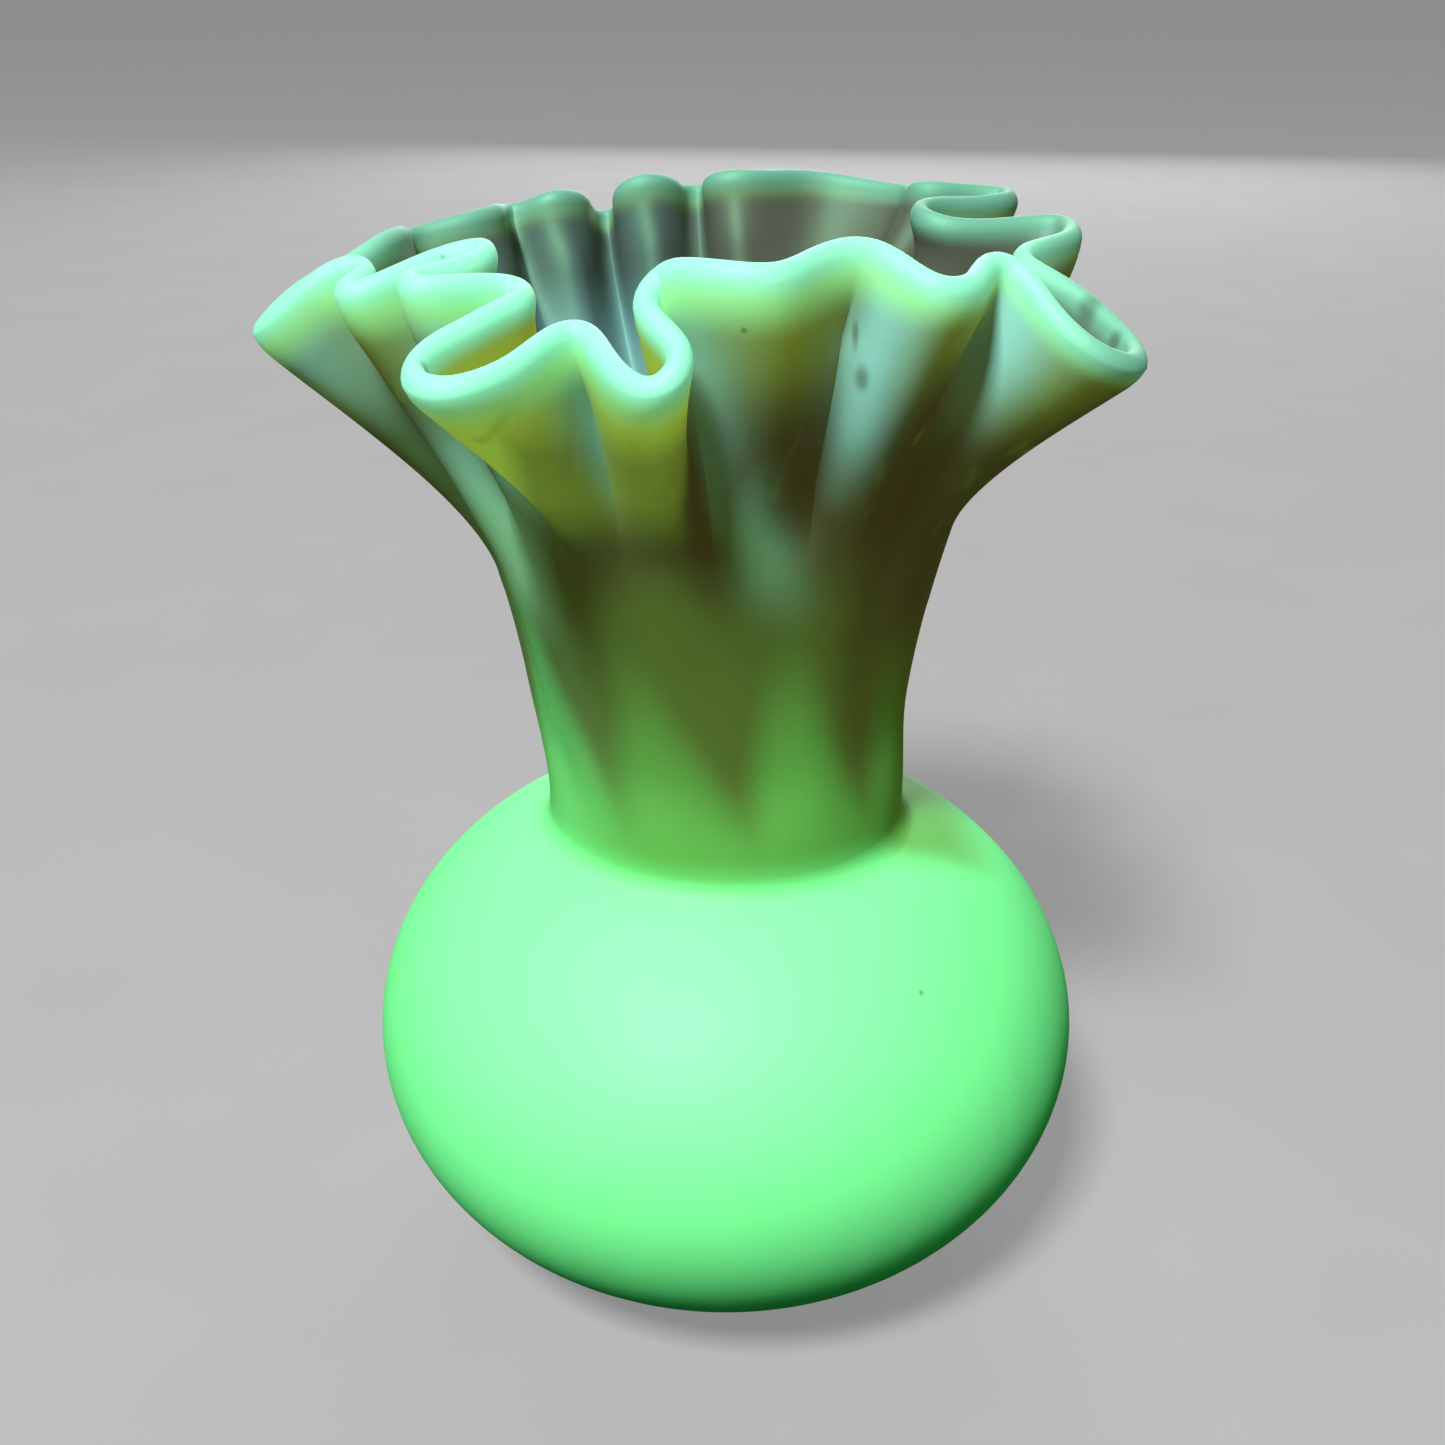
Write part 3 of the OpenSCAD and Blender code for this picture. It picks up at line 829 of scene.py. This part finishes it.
    def lining_colours(self):
        """The inside of neck and frill: dim, mauve to the right, violet in its cups, with painted light in
        front.
        """
        mauve = self.fade(self.math("MULTIPLY_ADD", self.streaks, MAUVE_WANDER, self.x), *MAUVE_X)
        stands_out = self.fade(self.fact("fold_mm"), *VIOLET_FOLD)
        violet = self.math("MULTIPLY", stands_out, self.fade(self.lip_mm, *VIOLET_MM))
        front_left = self.math("MULTIPLY", self.fade(self.y, *CUP_Y), self.fade(self.x, *CUP_X))
        cup = self.math("MULTIPLY", front_left, self.fade(self.lip_mm, *CUP_MM))
        lining = self.mix_pair(self.fade(self.z, *LINING_DEEP_Z), INNER, INNER_DEEP)
        lining = self.mix_pair(mauve, lining, MAUVE)
        lining = self.mix_pair(violet, lining, VIOLET)
        return self.mix_pair(cup, lining, LOBE_INSIDE_GLOW)

    def well_colours(self):
        """The inside of the bulb, with painted light on its floor."""
        light = self.math("MULTIPLY", self.clouds, self.fade(self.z, *WELL_FLOOR_Z))
        return self.mix_pair(light, WELL_DIM, WELL_LIT)

    def add_lip(self, body):
        """The polished lip and the yellower glass beside it, with a painted glow, and painted shade inside
        and on the far side.
        """
        # Painted shade: inside and on the far side, the lip and the glass beside it take dimmer colours.
        dim = self.math("MAXIMUM", self.inside, self.far)
        narrowed = self.math("MULTIPLY", self.lip_mm, self.fade(self.x, *NARROW_X))
        beside = self.fade(self.math("MULTIPLY_ADD", self.inside, BESIDE_INSIDE, narrowed), *BESIDE_MM)
        body = self.mix_pair(beside, body, self.mix_pair(dim, LIP_SIDE, LIP_SIDE_SHADED))
        return self.mix_pair(self.fade(self.lip_mm, *LIP_MM), body, self.mix_pair(self.far, LIP, LIP_FAR_SHADED))

    def mark_share(self):
        """More than 0 on the small dark marks."""
        share = 0.0
        for place, radius, tall in MARKS:
            from_mark = self.vector("SUBTRACT", self.place, place)["Vector"]
            squashed = self.vector("MULTIPLY", from_mark, (1.0, 1.0, 1.0 / tall))["Vector"]
            distance = self.vector("LENGTH", squashed)["Value"]
            low, high = (radius * part for part in MARK_RADII)
            spot = self.fade(distance, low, high, MARK_DEPTH, 0.0)
            share = self.math("MAXIMUM", share, spot)
        return share

    def paint(self):
        """Mixes the whole look, from the inside of the wall to the marks on it, into the surface, with its
        glow as painted light.
        """
        lining = self.math("MULTIPLY", self.inside, self.fade(self.z, *LINING_Z))
        well = self.math("MULTIPLY", self.inside, self.fade(self.z, *WELL_Z))
        body = self.mix_pair(lining, self.outside_colours(), self.lining_colours())
        body = self.add_lip(self.mix_pair(well, body, self.well_colours()))
        base, glow = self.mix_pair(self.mark_share(), body, (DIRT, DIRT))
        self.feed(self.surface.inputs["Base Color"], base)
        # The glow is painted light: the glass shines although no lamp is in it.
        self.feed(self.surface.inputs["Emission Color"], glow)
        self.feed(self.surface.inputs["Emission Strength"], 1.0)

    def finish_skin(self):
        """The satin skin: its gloss and its fine relief."""
        self.feed(self.surface.inputs["Specular Tint"], SHEEN_TINT)
        self.feed(self.surface.inputs["IOR"], GLASS_IOR)
        self.feed(self.surface.inputs["Roughness"], self.fade(self.clouds, *ROUGHNESS_CLOUDS))
        grain = self.noise(self.where, GRAIN_SCALE)
        relief = self.math("ADD", self.math("MULTIPLY", grain, GRAIN_RELIEF), self.streaks)
        bump = self.node("ShaderNodeBump", Height=relief, Strength=RELIEF_STRENGTH, Distance=RELIEF_DEPTH)
        self.feed(self.surface.inputs["Normal"], bump.outputs[0])


def satin_glass(name):
    glass = SatinGlass(name)
    glass.paint()
    glass.finish_skin()
    return glass.material


def build_vase():
    glass = {slot: satin_glass(slot) for slot in ("satin_green_glass", "struck_glass", "lip_glass")}
    for name, (spans, node, slot) in PIECES.items():
        piece = make_piece(name, rings_of(*spans), closed_loop="start" not in spans)
        piece.data.materials.append(glass[slot])
        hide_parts(node)
        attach(piece, "root")


# ---- stage, lights and camera ----

# Sizes and places of the stage are in metres
FLOOR_HALF = 15.0
FLOOR_GAP = 0.02 * MM              # keeps the floor out of the resting ring's plane
FLOOR_MOTTLE = 30.0
FLOOR_COLOURS = ((0.10, 0.10, 0.10), (0.12, 0.12, 0.12))
FLOOR_GLOW = 0.26
WHITE = (1.0, 1.0, 1.0)
LIGHT_TARGET = (0, 0, 0.05)        # in the neck's waist
KEY_AZIMUTH = math.radians(-22)    # of the key light, from straight in front towards -X
KEY_HEIGHT = math.radians(54)
KEY_AWAY = 1.3
KEY_SIZE = 0.22
KEY_POWER = 40
FILL_PLACE = (0.10, 0.80, 0.36)    # of a soft light for the back
FILL_SIZE = 0.6
FILL_POWER = 7
AMBIENT_COLOUR = (0.6, 0.6, 0.6, 1)
AMBIENT_STRENGTH = 0.04
CAMERA_PLACE = (-0.00033, -0.1434, 0.1218)
CAMERA_TILT = 25.09                # degrees below level
CAMERA_LENS = 42.35                # in millimetres, like the sensor
CAMERA_SENSOR = 36.0
CAMERA_CLIP = 0.01


def build_floor():
    """A plain pale floor. It glows a little and throws no light back, so the glass keeps its dark folds."""
    mesh = bpy.data.meshes.new("floor")
    corner_signs = ((-1, -1), (1, -1), (1, 1), (-1, 1))
    corners = [(x * FLOOR_HALF, y * FLOOR_HALF, -FLOOR_GAP) for x, y in corner_signs]
    mesh.from_pydata(corners, [], [(0, 1, 2, 3)])
    floor = bpy.data.objects.new("floor", mesh)
    bpy.context.scene.collection.objects.link(floor)
    shader = Shader("pale_floor")
    where = shader.node("ShaderNodeTexCoord").outputs["Object"]
    mottle = shader.noise(where, FLOOR_MOTTLE)
    shader.feed(shader.surface.inputs["Base Color"], shader.mix(mottle, *FLOOR_COLOURS))
    shader.feed(shader.surface.inputs["Roughness"], 1.0)
    shader.feed(shader.surface.inputs["Specular IOR Level"], 0.0)
    shader.feed(shader.surface.inputs["Emission Color"], WHITE)
    shader.feed(shader.surface.inputs["Emission Strength"], FLOOR_GLOW)
    floor.data.materials.append(shader.material)
    floor.visible_diffuse = False
    floor.visible_glossy = False


def aim(thing, place, target):
    """Puts a light in its place, turned towards the target."""
    thing.location = place
    direction = Vector(target) - Vector(place)
    thing.rotation_euler = direction.to_track_quat("-Z", "Y").to_euler()


def add_area(name, place, size, power):
    data = bpy.data.lights.new(name, "AREA")
    data.size = size
    data.energy = power
    light = bpy.data.objects.new(name, data)
    bpy.context.scene.collection.objects.link(light)
    aim(light, place, LIGHT_TARGET)


def build_lights():
    level = KEY_AWAY * math.cos(KEY_HEIGHT)
    place = (level * math.sin(KEY_AZIMUTH), -level * math.cos(KEY_AZIMUTH), KEY_AWAY * math.sin(KEY_HEIGHT))
    add_area("key", place, KEY_SIZE, KEY_POWER)
    add_area("back_fill", FILL_PLACE, FILL_SIZE, FILL_POWER)
    world = bpy.data.worlds.new("world")
    world.use_nodes = True
    background = world.node_tree.nodes["Background"]
    background.inputs["Color"].default_value = AMBIENT_COLOUR
    background.inputs["Strength"].default_value = AMBIENT_STRENGTH
    bpy.context.scene.world = world


def build_camera():
    data = bpy.data.cameras.new("camera")
    data.lens = CAMERA_LENS
    data.sensor_width = CAMERA_SENSOR
    data.clip_start = CAMERA_CLIP
    camera = bpy.data.objects.new("camera", data)
    bpy.context.scene.collection.objects.link(camera)
    camera.location = CAMERA_PLACE
    camera.rotation_euler = (math.radians(90 - CAMERA_TILT), 0, 0)
    bpy.context.scene.camera = camera


build_vase()
build_floor()
build_lights()
build_camera()
bpy.context.scene.view_settings.view_transform = "Standard"
